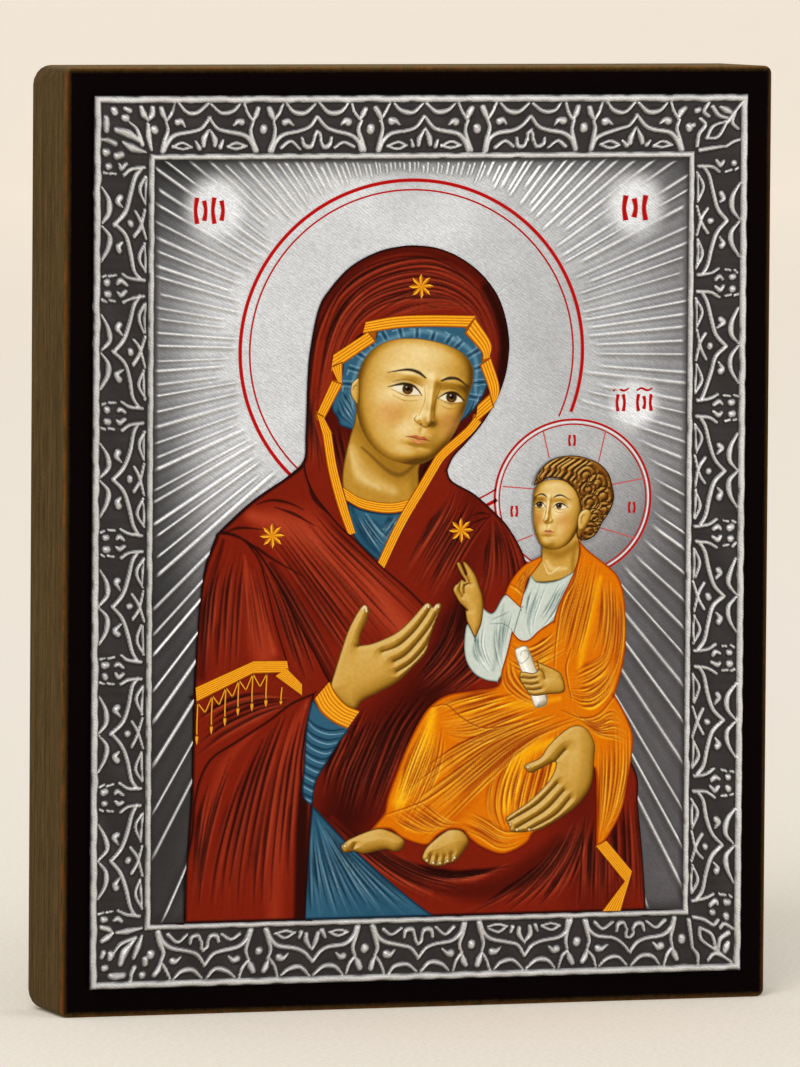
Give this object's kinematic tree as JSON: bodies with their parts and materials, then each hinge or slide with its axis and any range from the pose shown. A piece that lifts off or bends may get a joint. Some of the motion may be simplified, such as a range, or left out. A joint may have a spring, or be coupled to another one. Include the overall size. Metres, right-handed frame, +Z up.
{
  "type": "icon panel",
  "caption": "Free-standing wooden icon panel with an embossed silver cover: ogee-arch leaf border, rays and haloes round a painted mother and child.",
  "frame": {"origin": "on the underside of the block, midway across its width and its depth", "axes": "+Z up the panel, +X to the right seen from the front, +Y from the front to the back; the picture faces -Y"},
  "size_m": [0.2, 0.032, 0.25],
  "materials": {
    "wood_panel": "brown stained wood on the sides and back, painted black on the front",
    "silver_cover": "embossed silvered sheet, darkened in its hollows, with a flat painted picture"
  },
  "bodies": {
    "root": {"wood_panel": "wood_panel", "silver_cover": "silver_cover"}
  },
  "joints": []
}
